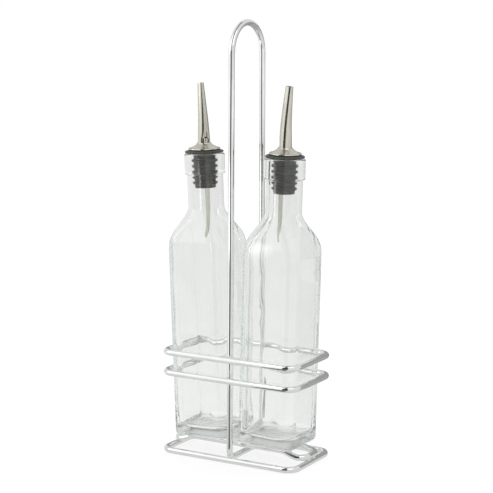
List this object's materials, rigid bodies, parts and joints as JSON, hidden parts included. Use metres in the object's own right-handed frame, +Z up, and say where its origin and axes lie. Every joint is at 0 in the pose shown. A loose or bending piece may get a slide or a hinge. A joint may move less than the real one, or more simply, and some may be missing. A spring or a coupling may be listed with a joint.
{
  "type": "oil and vinegar cruet set",
  "caption": "Chrome wire carrier with a tall loop handle holding square glass bottles, each with a ribbed rubber stopper and a bent metal pourer.",
  "frame": {"origin": "on the table, under the middle of the rack's base loop", "axes": "+Z up, +X along the rack from the left bottle to the right one, -Y towards the front rail"},
  "size_m": [0.1208, 0.0644, 0.3379],
  "materials": {
    "chrome_wire": "bright chrome plate on round steel wire",
    "bottle_glass": "clear soda-lime glass, faintly green where thick",
    "stopper_rubber": "matt dark grey-green rubber",
    "pourer_steel": "polished warm stainless steel"
  },
  "bodies": {
    "rack": {"base_loop": "chrome_wire", "bottle_rest": "chrome_wire", "lower_ring": "chrome_wire", "upper_ring": "chrome_wire", "handle_loop": "chrome_wire"},
    "bottle_body_left": {"bottle_left": "bottle_glass"},
    "stopper_body_left": {"stopper_left": "stopper_rubber"},
    "pourer_body_left": {"collar_left": "pourer_steel", "spout_left": "pourer_steel", "stem_left": "pourer_steel", "vent_tube_left": "pourer_steel"},
    "bottle_body_right": {"bottle_right": "bottle_glass"},
    "stopper_body_right": {"stopper_right": "stopper_rubber"},
    "pourer_body_right": {"collar_right": "pourer_steel", "spout_right": "pourer_steel", "stem_right": "pourer_steel", "vent_tube_right": "pourer_steel"}
  },
  "joints": [
    {"name": "bottle_lift_left", "type": "slide", "parent": "rack", "child": "bottle_body_left", "axis": [-0.0419, 0, 0.9991], "range_m": [0, 0.075]},
    {"name": "stopper_pull_left", "type": "slide", "parent": "bottle_body_left", "child": "stopper_body_left", "axis": [-0.0419, 0, 0.9991], "range_m": [0, 0.07]},
    {"name": "spout_turn_left", "type": "hinge", "parent": "stopper_body_left", "child": "pourer_body_left", "pos_m": [-0.03645, -0.0025, 0.23506], "axis": [-0.0419, 0, 0.9991], "continuous": true},
    {"name": "bottle_lift_right", "type": "slide", "parent": "rack", "child": "bottle_body_right", "axis": [0.0236, 0, 0.9997], "range_m": [0, 0.075]},
    {"name": "stopper_pull_right", "type": "slide", "parent": "bottle_body_right", "child": "stopper_body_right", "axis": [0.0236, 0, 0.9997], "range_m": [0, 0.07]},
    {"name": "spout_turn_right", "type": "hinge", "parent": "stopper_body_right", "child": "pourer_body_right", "pos_m": [0.0337, -0.001, 0.23496], "axis": [0.0236, 0, 0.9997], "continuous": true}
  ]
}
